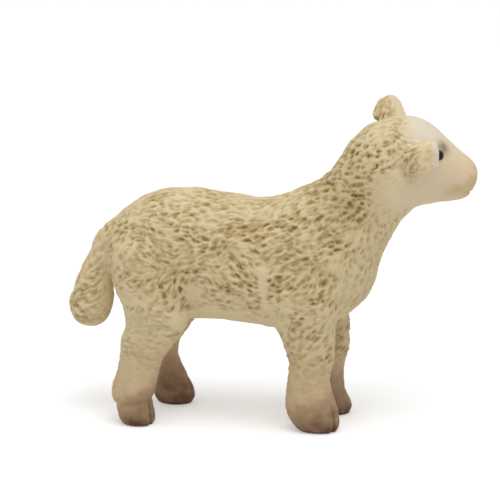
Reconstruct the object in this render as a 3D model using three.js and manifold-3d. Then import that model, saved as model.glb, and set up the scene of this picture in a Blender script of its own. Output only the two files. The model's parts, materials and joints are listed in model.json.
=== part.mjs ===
// A small standing lamb figure, moulded in solid soft plastic and glued together from its mouldings.
// Millimetres, +X towards the head, +Y to the lamb's left, +Z up, with the hooves standing on z = 0.
import * as THREE from "three";
import { mergeVertices } from "three/addons/utils/BufferGeometryUtils.js";
import Module from "manifold-3d";

const { smoothstep } = THREE.MathUtils;
const wasm = await Module();
wasm.setup();

// Trunk and neck
const trunkLength = 32;
const trunkDepth = 15.6;
const trunkWidth = 13;
const bellyHeight = 12.1;
const rumpBulge = 1.1;
const neckReach = 5.4;
const neckRise = 10.6;
const neckWidth = 8.6;
const headTurn = THREE.MathUtils.degToRad(12);

// Head
const headLength = 9.2;
const headHeight = 12.6;
const headWidth = 8.2;
const noseBulge = 0.2;
const eyeDiameter = 1.2;
const nostrilDiameter = 0.6;
const mouthGrooveWidth = 0.22;
const mouthGrooveDepth = 0.3;
const earLength = 5;
const earWidth = 3.4;
const earThickness = 1.3;
const earCupDepth = 0.5;

// Tail
const tailLength = 13.3;
const tailDepth = 5.4;
const tailWidth = 4.3;
const tailTipBulge = 2.35;

// Legs: a shank is the free lower limb, and the part above the belly line is the thigh or the shoulder
const hindFootX = 4.1;
const hindTrack = 9.2;
const hindShankDepth = 5.2;
const hindShankWidth = 4.2;
const thighDepth = 9.4;
const thighWidth = 5.6;
const leftHindStride = 3;
const strideFootHeight = 1.6;
const strideHockHeight = 7.6;
const leftHindLead = 0.3;
const leftFrontLead = 0.6;
const frontFootX = 25.3;
const frontTrack = 7.4;
const frontShankDepth = 5.6;
const frontShankWidth = 4.2;
const shoulderDepth = 9;
const shoulderWidth = 6.6;
const limbTopBulge = 2.6;
const legSeatSpan = 7;
const hoofHeight = 3.3;
const cleftWidth = 0.9;
const cleftDepth = 1.6;

// Fleece: locks of wool in staggered rows, with pits between them
const lockHeight = 0.4;
const lockPitch = 4.4;
const lockRowPitch = 3.4;

// Glued joints
const seamGap = 0.1;
const pocketLift = 0.9;
const pegClearance = 0.06;
const pegEndClearance = 0.2;
const neckPegDiameter = 4;
const neckPegLength = 3;
const limbPegDiameter = 2.4;
const limbPegLength = 2.2;
const hoofPegDiameter = 1.6;
const hoofPegLength = 1.2;
const tailPegDiameter = 1.6;
const tailPegLength = 2;
const earPegDiameter = 1.2;
const earPegLength = 1.2;
const overrun = 1;

// Facets
const aroundTrunk = 32;
const aroundHead = 24;
const aroundLimb = 16;
const aroundTail = 14;
const aroundEar = 14;
const aroundPeg = 8;
const aroundBead = 12;
const domeRings = 4;

const fleece = new THREE.MeshStandardMaterial({ color: 0xd9c79a, roughness: 0.7, metalness: 0 });
const skin = new THREE.MeshStandardMaterial({ color: 0xe2d3b2, roughness: 0.55, metalness: 0 });
const horn = new THREE.MeshStandardMaterial({ color: 0x8a6a50, roughness: 0.55, metalness: 0 });
const eyeLacquer = new THREE.MeshStandardMaterial({ color: 0x14110f, roughness: 0.12, metalness: 0 });

// Solids that can be joined and cut
function solidFrom(geometry) {
  const bare = new THREE.BufferGeometry();
  bare.setAttribute("position", geometry.getAttribute("position").clone());
  if (geometry.index) bare.setIndex(geometry.index.clone());
  const welded = mergeVertices(bare);
  return new wasm.Manifold(
    new wasm.Mesh({
      numProp: 3,
      vertProperties: welded.getAttribute("position").array,
      triVerts: new Uint32Array(welded.index.array),
    }),
  );
}

// Trimming can leave crumbs beside the main body; only the main body is kept.
function mainBodyOf(solid) {
  return solid.decompose().reduce((best, body) => (body.volume() > best.volume() ? body : best));
}

function geometryFrom(solid) {
  const mesh = mainBodyOf(solid).getMesh();
  const geometry = new THREE.BufferGeometry();
  geometry.setAttribute("position", new THREE.BufferAttribute(new Float32Array(mesh.vertProperties), 3));
  geometry.setIndex(new THREE.BufferAttribute(new Uint32Array(mesh.triVerts), 1));
  geometry.computeVertexNormals();
  return geometry;
}

function placed(geometry, matrix) {
  return solidFrom(geometry.clone().applyMatrix4(matrix));
}

function superellipse(angle, fullness) {
  const bend = (value) => Math.sign(value) * Math.pow(Math.abs(value), 2 / fullness);
  return [bend(Math.cos(angle)), bend(Math.sin(angle))];
}

// One cross-section of a form, spanned between two opposite points of its side outline.
// It is widest across the line between them, and taper moves the width towards the first point.
class Section {
  constructor(first, second, halfWidth, taper, turn) {
    this.centre = first.clone().add(second).multiplyScalar(0.5);
    this.span = first.clone().sub(second).multiplyScalar(0.5);
    this.side = new THREE.Vector3(-Math.sin(turn), Math.cos(turn), 0);
    this.halfWidth = halfWidth;
    this.taper = taper;
  }

  normal() {
    return this.span.clone().cross(this.side).normalize();
  }

  ring(around, fullness, growAt, scale = 1) {
    const along = this.span.clone().normalize();
    const points = [];
    for (let i = 0; i < around; i += 1) {
      const [across, up] = superellipse((i / around) * Math.PI * 2, fullness);
      const sideways = across * (1 + this.taper * up) * scale;
      const place = this.centre.clone().addScaledVector(this.span, up * scale);
      place.addScaledVector(this.side, this.halfWidth * sideways);
      const grow = growAt(place);
      place.addScaledVector(along, grow * up * scale).addScaledVector(this.side, grow * sideways);
      points.push(place);
    }
    return points;
  }
}

// Closes a row of rings into one body, each end with a flat cap or a dome
function skinOf(rings, startPole, endPole) {
  const around = rings[0].length;
  const points = rings.flat();
  const startIndex = points.push(startPole) - 1;
  const endIndex = points.push(endPole) - 1;
  const faces = [];
  for (let j = 0; j < around; j += 1) {
    const next = (j + 1) % around;
    faces.push([startIndex, next, j]);
    for (let i = 0; i + 1 < rings.length; i += 1) {
      const low = i * around;
      const high = low + around;
      faces.push([low + j, low + next, high + next], [low + j, high + next, high + j]);
    }
    const last = (rings.length - 1) * around;
    faces.push([endIndex, last + j, last + next]);
  }
  const volume = faces.reduce((sum, [a, b, c]) => {
    const cross = points[b].clone().cross(points[c]);
    return sum + points[a].dot(cross);
  }, 0);
  const outward = volume > 0 ? faces : faces.map(([a, b, c]) => [a, c, b]);
  const geometry = new THREE.BufferGeometry().setFromPoints(points);
  geometry.setIndex(outward.flat());
  return geometry;
}

// Locks and pits alternate along the body, and each row around it is half a pitch behind the last.
// One pattern runs over all the mouldings, so that their surfaces still cross cleanly.
function lockLift(place) {
  const along = (2 * Math.PI * place.x) / lockPitch;
  const around = (2 * Math.PI * (place.z + Math.abs(place.y))) / lockRowPitch;
  return (lockHeight / 2) * Math.cos(along) * Math.cos(around);
}

// Smooth body through stations, each { first, second, halfWidth, taper, turn }.
// wool tells how much of the locks' height stands out at a share of the way along, and origin is
// where the form's own frame sits on the lamb.
function loft(form, grow = 0) {
  const { stations, steps, around, fullness, startBulge = 0, endBulge = 0 } = form;
  const { wool = () => 0, origin = new THREE.Vector3() } = form;
  const curve = (pick) => new THREE.CatmullRomCurve3(stations.map(pick), false, "catmullrom", 0.5);
  const first = curve((s) => s.first);
  const second = curve((s) => s.second);
  const shape = curve((s) => new THREE.Vector3(s.halfWidth, s.taper ?? 0, s.turn ?? 0));
  const count = (stations.length - 1) * steps;
  const sections = Array.from({ length: count + 1 }, (_, i) => {
    const t = i / count;
    const { x, y, z } = shape.getPoint(t);
    return new Section(first.getPoint(t), second.getPoint(t), x, y, z);
  });
  const growAt = (i) => (place) => grow + wool(i / count) * lockLift(place.clone().add(origin));
  const rings = sections.map((section, i) => section.ring(around, fullness, growAt(i)));
  const finish = (at, innerAt, bulge) => {
    const section = sections[at];
    const inner = sections[innerAt];
    const out = section.normal();
    if (out.dot(section.centre.clone().sub(inner.centre)) < 0) out.negate();
    const length = bulge + grow;
    const dome = [];
    for (let k = 1; k < domeRings && bulge > 0; k += 1) {
      const angle = ((k / domeRings) * Math.PI) / 2;
      const shift = out.clone().multiplyScalar(length * Math.sin(angle));
      dome.push(section.ring(around, fullness, growAt(at), Math.cos(angle)).map((p) => p.add(shift)));
    }
    if (bulge === 0 && grow > 0) {
      dome.push(section.ring(around, fullness, growAt(at)).map((p) => p.addScaledVector(out, length)));
    }
    return { dome, pole: section.centre.clone().addScaledVector(out, length) };
  };
  const start = finish(0, 1, startBulge);
  const end = finish(count, count - 1, endBulge);
  return skinOf([...start.dome.reverse(), ...rings, ...end.dome], start.pole, end.pole);
}

// Peg or socket from a point along a direction
function pin(from, direction, diameter, length) {
  const turn = new THREE.Quaternion().setFromUnitVectors(
    new THREE.Vector3(0, 1, 0),
    direction.clone().normalize(),
  );
  const shift = from.clone().addScaledVector(direction.clone().normalize(), length / 2);
  const body = new THREE.CylinderGeometry(diameter / 2, diameter / 2, length, aroundPeg);
  return body.applyQuaternion(turn).translate(shift.x, shift.y, shift.z);
}

// The socket for a peg runs on outwards past its mouth, so that its cut is open.
function socketFor(from, direction, diameter, length) {
  const mouth = from.clone().addScaledVector(direction, -overrun);
  return pin(mouth, direction, diameter + 2 * pegClearance, overrun + length + pegEndClearance);
}

function boxBetween(low, high) {
  const size = high.clone().sub(low);
  const middle = low.clone().add(high).multiplyScalar(0.5);
  return new THREE.BoxGeometry(size.x, size.y, size.z).translate(middle.x, middle.y, middle.z);
}

function turnedAbout(point, pivot, angle) {
  const arm = point.clone().sub(pivot);
  return arm.applyAxisAngle(new THREE.Vector3(0, 0, 1), angle).add(pivot);
}

// Trunk rows: back x and z, belly x and z, half width, taper, all as shares of the trunk's sizes
const trunkShares = [
  [0.022, 0.744, 0.05, 0.25, 0.277, 0.0],
  [0.072, 0.846, 0.109, 0.115, 0.408, 0.0],
  [0.15, 0.955, 0.194, 0.032, 0.469, 0.0],
  [0.256, 1.013, 0.287, 0.0, 0.488, -0.04],
  [0.375, 1.013, 0.4, 0.016, 0.492, -0.08],
  [0.5, 0.978, 0.525, 0.0, 0.496, -0.1],
  [0.612, 0.968, 0.666, -0.032, 0.5, -0.1],
  [0.706, 1.045, 0.806, -0.019, 0.5, -0.1],
  [0.769, 1.099, 0.925, 0.115, 0.462, -0.08],
];
// Neck rows: nape x and z from the withers, throat x and z from the brisket, half width, taper, turn
const neckShares = [
  [0.315, 0.108, 0.428, 0.255, 0.605, -0.05, 0.25],
  [0.56, 0.269, 0.623, 0.623, 0.535, -0.02, 0.6],
  [0.814, 0.467, 1.005, 1.0, 0.5, 0.02, 1.0],
];
// Head rows: upper outline x and z, lower outline x and z, from the throat, half width, taper
const headShares = [
  [-0.422, 0.913, 0.144, 0.111, 0.506, 0.04],
  [-0.133, 0.992, 0.278, 0.151, 0.5, 0.08],
  [0.178, 0.996, 0.389, 0.167, 0.482, 0.12],
  [0.411, 0.913, 0.5, 0.183, 0.445, 0.16],
  [0.589, 0.79, 0.622, 0.19, 0.378, 0.12],
  [0.745, 0.683, 0.733, 0.202, 0.317, 0.0],
  [0.867, 0.611, 0.828, 0.226, 0.287, -0.06],
  [0.939, 0.556, 0.895, 0.27, 0.238, -0.04],
  [0.975, 0.5, 0.95, 0.349, 0.152, 0.0],
];
// Limb rows: height, front and back, half width. Height 1 is the belly line, and 2 the back.
const rightHindShankShares = [
  [0.0, 0.471, -0.269, 0.45],
  [0.066, 0.49, -0.375, 0.5],
  [0.157, 0.442, -0.413, 0.52],
  [0.24, 0.413, -0.5, 0.52],
  [0.331, 0.5, -0.558, 0.56],
  [0.438, 0.538, -0.5, 0.5],
  [0.562, 0.606, -0.394, 0.45],
  [0.702, 0.721, -0.365, 0.476],
  [0.851, 1.0, -0.317, 0.54],
];
const leftHindShankShares = [
  [0.0, 0.404, -0.442, 0.45],
  [0.066, 0.442, -0.538, 0.5],
  [0.157, 0.404, -0.548, 0.52],
  [0.24, 0.365, -0.519, 0.52],
  [0.331, 0.404, -0.5, 0.52],
  [0.438, 0.471, -0.462, 0.48],
  [0.562, 0.596, -0.394, 0.45],
  [0.702, 0.74, -0.365, 0.476],
  [0.851, 1.0, -0.317, 0.54],
];
const thighShares = [
  [1.013, 0.691, -0.117, 0.42],
  [1.154, 0.702, -0.149, 0.5],
  [1.346, 0.681, -0.287, 0.5],
  [1.538, 0.521, -0.277, 0.42],
];
const rightFrontShankShares = [
  [0.0, 0.562, -0.268, 0.45],
  [0.066, 0.616, -0.411, 0.5],
  [0.182, 0.58, -0.554, 0.55],
  [0.298, 0.518, -0.58, 0.55],
  [0.413, 0.429, -0.562, 0.5],
  [0.57, 0.402, -0.527, 0.45],
  [0.711, 0.491, -0.527, 0.476],
  [0.835, 0.518, -0.607, 0.52],
];
const leftFrontShankShares = [
  [0.0, 0.536, -0.268, 0.45],
  [0.066, 0.58, -0.393, 0.5],
  [0.14, 0.527, -0.482, 0.5],
  [0.223, 0.429, -0.518, 0.45],
  [0.397, 0.393, -0.509, 0.42],
  [0.545, 0.429, -0.509, 0.42],
  [0.702, 0.536, -0.518, 0.47],
  [0.835, 0.536, -0.607, 0.52],
];
const shoulderShares = [
  [1.013, 0.311, -0.478, 0.4],
  [1.154, 0.344, -0.622, 0.5],
  [1.346, 0.333, -0.656, 0.5],
  [1.538, 0.211, -0.578, 0.4],
];
// Tail rows: outer x and z, inner x and z, from the root, half width
const tailShares = [
  [0.037, 0.15, 0.259, -0.12, 0.326],
  [-0.287, 0.038, 0.056, -0.165, 0.349],
  [-0.509, -0.128, 0.0, -0.271, 0.384],
  [-0.667, -0.286, -0.019, -0.376, 0.43],
  [-0.843, -0.451, 0.019, -0.489, 0.477],
  [-1.019, -0.624, 0.056, -0.609, 0.5],
  [-1.019, -0.714, -0.028, -0.729, 0.465],
];
// Tail root on the trunk: x and z
const tailRootShares = [0.019, 0.647];
// Ear rows: height along the ear, half width, thickness
const earShares = [
  [0.0, 0.44, 0.9],
  [0.25, 0.5, 1.0],
  [0.5, 0.54, 0.9],
  [0.75, 0.54, 0.75],
  [0.88, 0.46, 0.6],
];

// Where the wool ends or begins, as shares of the way along each form
const trunkWoolShares = [0.9, 1];
const pollWoolShares = [0, 0.08];
const browWoolShares = [0.2, 0.36];
const limbWoolShares = [0.42, 0.6];
const tailRootWoolShares = [0.1, 0.3];
const tailTipWoolShares = [0.7, 1];

// Which way each ear points, and which way its back faces
const leftEarAlongShares = [-0.36, 0.43, 0.83];
const leftEarBackShares = [0.1, -0.9, 0.45];
const rightEarAlongShares = [0.73, -0.64, 0.23];
const rightEarBackShares = [-0.36, -0.9, 0.27];
// Places on the head: along it, across it and up it from the throat
const eyeShares = [0.45, 0.385, 0.685];
const nostrilShares = [0.95, 0.13, 0.5];
const nostrilStretchShares = [1.4, 0.8, 1];
const mouthCornerShares = [0.634, 0, 0.333];
const mouthFrontShares = [0.956, 0, 0.266];
const leftEarRootShares = [0.015, 0.37, 0.79];
const rightEarRootShares = [0, -0.47, 0.685];

const withers = new THREE.Vector3(
  trunkLength * trunkShares.at(-1)[0],
  0,
  bellyHeight + trunkDepth * trunkShares.at(-1)[1],
);
const brisket = new THREE.Vector3(
  trunkLength * trunkShares.at(-1)[2],
  0,
  bellyHeight + trunkDepth * trunkShares.at(-1)[3],
);
const neckPivot = new THREE.Vector3(withers.x, 0, 0);

function trunkForm() {
  const trunk = trunkShares.map(([backX, backZ, bellyX, bellyZ, halfWidth, taper]) => ({
    first: new THREE.Vector3(trunkLength * backX, 0, bellyHeight + trunkDepth * backZ),
    second: new THREE.Vector3(trunkLength * bellyX, 0, bellyHeight + trunkDepth * bellyZ),
    halfWidth: trunkWidth * halfWidth,
    taper,
    turn: 0,
  }));
  const neck = neckShares.map(([napeX, napeZ, throatX, throatZ, halfWidth, taper, turnShare]) => {
    const turn = headTurn * turnShare;
    const nape = withers.clone().add(new THREE.Vector3(neckReach * napeX, 0, neckRise * napeZ));
    const throat = brisket.clone().add(new THREE.Vector3(neckReach * throatX, 0, neckRise * throatZ));
    return {
      first: turnedAbout(nape, neckPivot, turn),
      second: turnedAbout(throat, neckPivot, turn),
      halfWidth: neckWidth * halfWidth,
      taper,
      turn,
    };
  });
  return {
    stations: [...trunk, ...neck],
    steps: 3,
    around: aroundTrunk,
    fullness: 2.15,
    startBulge: rumpBulge,
    wool: (t) => 1 - smoothstep(t, ...trunkWoolShares),
  };
}

// The head is drawn straight ahead, in a group that turns about the neck's pivot.
const neckTop = neckShares.at(-1);
const headSeat = {
  nape: withers.clone().add(new THREE.Vector3(neckReach * neckTop[0], 0, neckRise * neckTop[1])),
  throat: brisket.clone().add(new THREE.Vector3(neckReach * neckTop[2], 0, neckRise * neckTop[3])),
};
const seatNormal = new THREE.Vector3(
  headSeat.nape.z - headSeat.throat.z,
  0,
  headSeat.throat.x - headSeat.nape.x,
).normalize();
const seatCentre = headSeat.nape.clone().add(headSeat.throat).multiplyScalar(0.5);

function headForm() {
  const lift = seatNormal.clone().multiplyScalar(seamGap);
  const start = {
    first: headSeat.nape.clone().add(lift),
    second: headSeat.throat.clone().add(lift),
    halfWidth: neckWidth * neckTop[4],
    taper: neckTop[5],
  };
  const rest = headShares.map(([upperX, upperZ, lowerX, lowerZ, halfWidth, taper]) => ({
    first: headSeat.throat.clone().add(new THREE.Vector3(headLength * upperX, 0, headHeight * upperZ)),
    second: headSeat.throat.clone().add(new THREE.Vector3(headLength * lowerX, 0, headHeight * lowerZ)),
    halfWidth: headWidth * halfWidth,
    taper,
  }));
  return {
    stations: [start, ...rest],
    steps: 3,
    around: aroundHead,
    fullness: 2.2,
    endBulge: noseBulge,
    wool: (t) => smoothstep(t, ...pollWoolShares) * (1 - smoothstep(t, ...browWoolShares)),
  };
}

function limbForm(shankShares, upperShares, sizes, stride, origin) {
  const height = (share) =>
    share <= 1 ? bellyHeight * share : bellyHeight + trunkDepth * (share - 1);
  const row = ([heightShare, frontShare, backShare, halfWidthShare], depth, width) => {
    const z = height(heightShare);
    const lean = stride * (1 - smoothstep(z, strideFootHeight, strideHockHeight));
    return {
      first: new THREE.Vector3(depth * frontShare + lean, 0, z),
      second: new THREE.Vector3(depth * backShare + lean, 0, z),
      halfWidth: width * halfWidthShare,
    };
  };
  return {
    stations: [
      ...shankShares.map((shares) => row(shares, sizes.shankDepth, sizes.shankWidth)),
      ...upperShares.map((shares) => row(shares, sizes.upperDepth, sizes.upperWidth)),
    ],
    steps: 2,
    around: aroundLimb,
    fullness: 2.2,
    endBulge: limbTopBulge,
    wool: (t) => smoothstep(t, ...limbWoolShares),
    origin,
  };
}

function tailForm() {
  return {
    stations: tailShares.map(([outerX, outerZ, innerX, innerZ, halfWidth]) => ({
      first: new THREE.Vector3(tailDepth * outerX, 0, tailLength * outerZ),
      second: new THREE.Vector3(tailDepth * innerX, 0, tailLength * innerZ),
      halfWidth: tailWidth * halfWidth,
    })),
    steps: 2,
    around: aroundTail,
    fullness: 2,
    endBulge: tailTipBulge,
    wool: (t) => smoothstep(t, ...tailRootWoolShares) * (1 - smoothstep(t, ...tailTipWoolShares)),
    origin: tailRoot,
  };
}

function earForm() {
  return {
    stations: earShares.map(([heightShare, halfWidthShare, thicknessShare]) => ({
      first: new THREE.Vector3((earThickness / 2) * thicknessShare, 0, earLength * heightShare),
      second: new THREE.Vector3((-earThickness / 2) * thicknessShare, 0, earLength * heightShare),
      halfWidth: earWidth * halfWidthShare,
    })),
    steps: 2,
    around: aroundEar,
    fullness: 2,
    endBulge: earLength * (1 - earShares.at(-1)[0]),
  };
}

// Where each moulding sits on the trunk
const tailRoot = new THREE.Vector3(
  trunkLength * tailRootShares[0],
  0,
  bellyHeight + trunkDepth * tailRootShares[1],
);
const limbs = {
  hind: {
    footX: hindFootX,
    track: hindTrack,
    upperShares: thighShares,
    sizes: {
      shankDepth: hindShankDepth,
      shankWidth: hindShankWidth,
      upperDepth: thighDepth,
      upperWidth: thighWidth,
    },
  },
  front: {
    footX: frontFootX,
    track: frontTrack,
    upperShares: shoulderShares,
    sizes: {
      shankDepth: frontShankDepth,
      shankWidth: frontShankWidth,
      upperDepth: shoulderDepth,
      upperWidth: shoulderWidth,
    },
  },
};
const legs = [
  {
    name: "front_left",
    limb: limbs.front,
    shankShares: leftFrontShankShares,
    side: 1,
    lead: leftFrontLead,
    stride: 0,
  },
  {
    name: "front_right",
    limb: limbs.front,
    shankShares: rightFrontShankShares,
    side: -1,
    lead: 0,
    stride: 0,
  },
  {
    name: "hind_left",
    limb: limbs.hind,
    shankShares: leftHindShankShares,
    side: 1,
    lead: leftHindLead,
    stride: leftHindStride,
  },
  {
    name: "hind_right",
    limb: limbs.hind,
    shankShares: rightHindShankShares,
    side: -1,
    lead: 0,
    stride: 0,
  },
].map((leg) => {
  const foot = new THREE.Vector3(leg.limb.footX + leg.lead, (leg.side * leg.limb.track) / 2, 0);
  const form = limbForm(leg.shankShares, leg.limb.upperShares, leg.limb.sizes, leg.stride, foot);
  return { ...leg, foot, form };
});

// The middle of a leg's upper part, where its peg goes into the trunk
function limbPegPlace(leg) {
  const [heightShare, frontShare, backShare] = leg.limb.upperShares[2];
  return new THREE.Vector3(
    leg.foot.x + (leg.limb.sizes.upperDepth * (frontShare + backShare)) / 2,
    (leg.side * legSeatSpan) / 2,
    bellyHeight + trunkDepth * (heightShare - 1),
  );
}

// Half of space, outside or inside the flat seats of the legs
const roomLow = new THREE.Vector3(-trunkLength, -trunkLength, -trunkLength);
const roomHigh = new THREE.Vector3(2 * trunkLength, trunkLength, 2 * trunkLength);
function outsideSeat(side) {
  const low = roomLow.clone();
  const high = roomHigh.clone();
  if (side > 0) low.y = legSeatSpan / 2;
  else high.y = -legSeatSpan / 2;
  return solidFrom(boxBetween(low, high));
}
function betweenSeats() {
  const low = roomLow.clone().setY(-legSeatSpan / 2);
  const high = roomHigh.clone().setY(legSeatSpan / 2);
  return solidFrom(boxBetween(low, high));
}

const inward = (leg) => new THREE.Vector3(0, -leg.side, 0);
const tailPegDirection = new THREE.Vector3(1, 0, 0);

// A leg's form and the same form moved outwards, so that no flake of the trunk lies over the leg
function legRoom(leg, grow = 0) {
  const form = loft(leg.form, grow);
  const lifted = form.clone().translate(0, leg.side * pocketLift, 0);
  return solidFrom(form).add(solidFrom(lifted));
}

function makeTorso() {
  let torso = solidFrom(loft(trunkForm()));
  for (const leg of legs) {
    const room = legRoom(leg, seamGap).translate(leg.foot.toArray());
    torso = torso.subtract(room.intersect(outsideSeat(leg.side)));
    torso = torso.subtract(
      solidFrom(socketFor(limbPegPlace(leg), inward(leg), limbPegDiameter, limbPegLength)),
    );
  }
  const turn = new THREE.Matrix4().makeRotationZ(headTurn);
  turn.premultiply(new THREE.Matrix4().makeTranslation(neckPivot.x, 0, 0));
  turn.multiply(new THREE.Matrix4().makeTranslation(-neckPivot.x, 0, 0));
  const down = seatNormal.clone().negate();
  const neckSocket = socketFor(seatCentre, down, neckPegDiameter, neckPegLength);
  torso = torso.subtract(placed(neckSocket, turn));
  const tailMouth = tailRoot.clone().addScaledVector(tailPegDirection, -tailDepth / 2);
  const tailReach = tailPegLength + tailDepth;
  const tailSocket = socketFor(tailMouth, tailPegDirection, tailPegDiameter, tailReach);
  torso = torso.subtract(solidFrom(tailSocket));
  return torso;
}

// Where the trunk bulges past the leg's own form, the leg takes on the trunk's surface.
function makeLeg(leg) {
  const back = leg.foot.clone().negate().toArray();
  const trunkCore = solidFrom(loft(trunkForm(), seamGap)).intersect(betweenSeats()).translate(back);
  const flush = solidFrom(loft(trunkForm())).translate(back).intersect(legRoom(leg));
  const whole = solidFrom(loft(leg.form)).add(flush).subtract(trunkCore);
  const place = limbPegPlace(leg).sub(leg.foot);
  const start = place.clone().addScaledVector(inward(leg), -overrun);
  const peg = solidFrom(pin(start, inward(leg), limbPegDiameter, limbPegLength + overrun));
  const ground = boxBetween(
    roomLow.clone(),
    roomHigh.clone().setZ(hoofHeight),
  );
  const above = whole.add(peg).subtract(solidFrom(ground));
  const ankle = anklePlace(leg);
  const rise = ankle.clone().add(new THREE.Vector3(0, 0, overrun));
  return above.add(
    solidFrom(pin(rise, new THREE.Vector3(0, 0, -1), hoofPegDiameter, hoofPegLength + overrun)),
  );
}

// Centre of the flat joint between a leg and its hoof, in the leg's own frame
function anklePlace(leg) {
  const ends = leg.form.stations.filter(({ first }) => first.z < bellyHeight / 2);
  const near = ends.reduce((best, s) =>
    Math.abs(s.first.z - hoofHeight) < Math.abs(best.first.z - hoofHeight) ? s : best,
  );
  return new THREE.Vector3((near.first.x + near.second.x) / 2, 0, hoofHeight);
}

function makeHoof(leg) {
  const whole = solidFrom(loft(leg.form));
  const sole = boxBetween(roomLow.clone().setZ(0), roomHigh.clone().setZ(hoofHeight));
  const toe = leg.form.stations[1].first;
  const cleft = new THREE.Shape([
    new THREE.Vector2(toe.x - cleftDepth, 0),
    new THREE.Vector2(toe.x + overrun, -cleftWidth / 2),
    new THREE.Vector2(toe.x + overrun, cleftWidth / 2),
  ]);
  const groove = new THREE.ExtrudeGeometry(cleft, { depth: hoofHeight, bevelEnabled: false });
  groove.translate(0, 0, -overrun);
  const socket = socketFor(
    anklePlace(leg),
    new THREE.Vector3(0, 0, -1),
    hoofPegDiameter,
    hoofPegLength,
  );
  return whole.intersect(solidFrom(sole)).subtract(solidFrom(groove)).subtract(solidFrom(socket));
}

function makeTail() {
  const back = tailRoot.clone().negate().toArray();
  const trunk = solidFrom(loft(trunkForm(), seamGap)).translate(back);
  const start = tailPegDirection.clone().multiplyScalar(-overrun);
  const peg = pin(start, tailPegDirection, tailPegDiameter, tailPegLength + tailDepth / 2 + overrun);
  return solidFrom(loft(tailForm())).subtract(trunk).add(solidFrom(peg));
}

// Places on the head, in the head's own straight frame, as shares of its sizes from the throat
function onHead([alongShare, acrossShare, upShare], side = 1) {
  const step = [headLength * alongShare, side * headWidth * acrossShare, headHeight * upShare];
  return headSeat.throat.clone().add(new THREE.Vector3(...step));
}
const eyePlaces = { left: onHead(eyeShares, 1), right: onHead(eyeShares, -1) };
const nostrilPlaces = [onHead(nostrilShares, 1), onHead(nostrilShares, -1)];
const mouthCorner = onHead(mouthCornerShares);
const mouthFront = onHead(mouthFrontShares);
const ears = [
  {
    name: "left_ear",
    root: onHead(leftEarRootShares),
    along: new THREE.Vector3(...leftEarAlongShares).normalize(),
    back: new THREE.Vector3(...leftEarBackShares).normalize(),
  },
  {
    name: "right_ear",
    root: onHead(rightEarRootShares),
    along: new THREE.Vector3(...rightEarAlongShares).normalize(),
    back: new THREE.Vector3(...rightEarBackShares).normalize(),
  },
];

// Frame of an ear: z along it, x out of its convex back
function earMatrix(ear) {
  const z = ear.along.clone();
  const x = ear.back.clone().addScaledVector(z, -ear.back.dot(z)).normalize();
  const y = z.clone().cross(x);
  return new THREE.Matrix4().makeBasis(x, y, z).setPosition(ear.root);
}

function earGeometry() {
  const geometry = loft(earForm());
  const place = geometry.getAttribute("position");
  for (let i = 0; i < place.count; i += 1) {
    const across = place.getY(i) / (earWidth / 2);
    place.setX(i, place.getX(i) - earCupDepth * across * across);
  }
  return geometry;
}

function makeEar(ear) {
  const toEar = earMatrix(ear).invert();
  const head = placed(loft(headForm(), seamGap), toEar);
  const down = new THREE.Vector3(0, 0, -1);
  const peg = pin(new THREE.Vector3(0, 0, overrun), down, earPegDiameter, earPegLength + overrun);
  return solidFrom(earGeometry()).subtract(head).add(solidFrom(peg));
}

// A thin cut around the muzzle between the lips, no deeper than the mouth's groove
function mouthGroove() {
  const run = mouthFront.clone().sub(mouthCorner);
  const slab = new THREE.BoxGeometry(run.length() + 2 * overrun, headWidth, mouthGrooveWidth);
  slab.translate(run.length() / 2 + overrun, 0, 0).rotateY(Math.atan2(-run.z, run.x));
  slab.translate(...mouthCorner.toArray());
  return solidFrom(slab).subtract(solidFrom(loft(headForm(), -mouthGrooveDepth)));
}

function makeHead() {
  let head = solidFrom(loft(headForm())).subtract(mouthGroove());
  const peg = pin(
    seatCentre.clone().addScaledVector(seatNormal, overrun),
    seatNormal.clone().negate(),
    neckPegDiameter,
    neckPegLength + overrun,
  );
  head = head.add(solidFrom(peg));
  for (const ear of ears) {
    const down = new THREE.Vector3(0, 0, -1);
    const socket = socketFor(new THREE.Vector3(), down, earPegDiameter, earPegLength);
    head = head.subtract(placed(socket, earMatrix(ear)));
  }
  for (const place of Object.values(eyePlaces)) {
    const socket = new THREE.SphereGeometry(eyeDiameter / 2 + seamGap, aroundBead, aroundBead / 2);
    head = head.subtract(solidFrom(socket.translate(...place.toArray())));
  }
  for (const place of nostrilPlaces) {
    const pit = new THREE.SphereGeometry(nostrilDiameter / 2, aroundBead / 2, aroundBead / 2);
    head = head.subtract(solidFrom(pit.scale(...nostrilStretchShares).translate(...place.toArray())));
  }
  return head;
}

// The scene graph
function meshOf(name, solid, material) {
  const mesh = new THREE.Mesh(geometryFrom(solid), material);
  mesh.name = name;
  return mesh;
}

const lamb = new THREE.Group();
lamb.add(meshOf("torso", makeTorso(), fleece));

for (const leg of legs) {
  const limb = new THREE.Group();
  limb.position.copy(leg.foot);
  limb.add(meshOf(`${leg.name}_leg`, makeLeg(leg), fleece));
  limb.add(meshOf(`${leg.name}_hoof`, makeHoof(leg), horn));
  lamb.add(limb);
}

const tail = meshOf("tail", makeTail(), fleece);
tail.position.copy(tailRoot);
lamb.add(tail);

const neckHinge = new THREE.Group();
neckHinge.position.copy(neckPivot);
neckHinge.rotation.z = headTurn;
const headGroup = new THREE.Group();
headGroup.position.copy(neckPivot).negate();
neckHinge.add(headGroup);
headGroup.add(meshOf("head", makeHead(), skin));
for (const ear of ears) {
  const mesh = meshOf(ear.name, makeEar(ear), fleece);
  mesh.applyMatrix4(earMatrix(ear));
  headGroup.add(mesh);
}
for (const [side, place] of Object.entries(eyePlaces)) {
  const bead = new THREE.SphereGeometry(eyeDiameter / 2, aroundBead, aroundBead / 2);
  const mesh = new THREE.Mesh(bead, eyeLacquer);
  mesh.name = `${side}_eye`;
  mesh.position.copy(place);
  headGroup.add(mesh);
}
lamb.add(neckHinge);

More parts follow.
